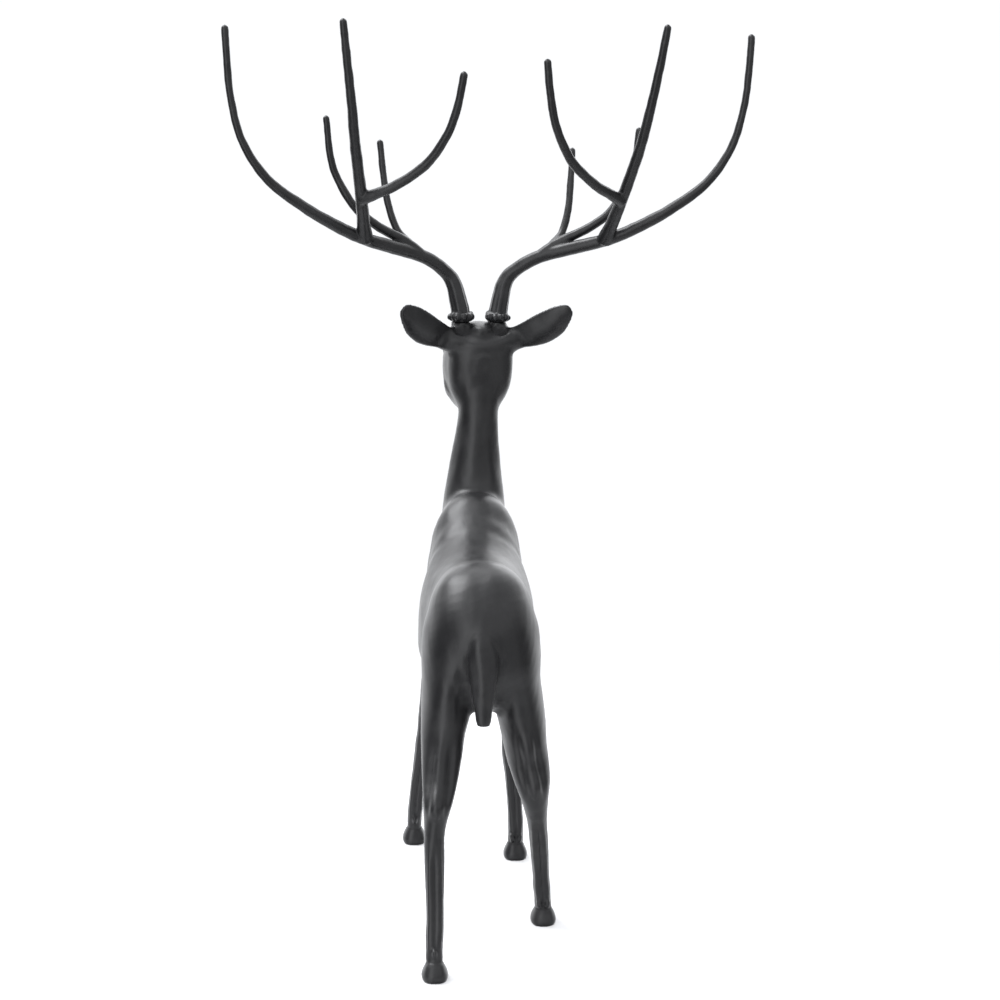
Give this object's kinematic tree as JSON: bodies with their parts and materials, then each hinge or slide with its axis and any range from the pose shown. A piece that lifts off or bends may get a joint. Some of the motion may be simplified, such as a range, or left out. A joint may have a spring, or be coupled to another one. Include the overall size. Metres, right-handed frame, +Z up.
{
  "type": "deer sculpture",
  "caption": "Slender walking stag sculpture in black painted cast metal, standing on its hooves, with a branched antler seated on each side of the turned head.",
  "frame": {"origin": "on the floor, under the middle of the whole figure's box", "axes": "+Z up; the deer faces -Y with its head turned a little to its left; +X is the deer's own left side"},
  "size_m": [0.6374, 0.625, 1.0404],
  "materials": {
    "black_paint": "satin black paint on cast metal, slightly uneven, brighter sheen on worn ridges",
    "antler_paint": "satin black paint over lumpy cast antlers"
  },
  "bodies": {
    "root": {"deer_body": "black_paint", "left_antler": "antler_paint", "right_antler": "antler_paint"}
  },
  "joints": []
}
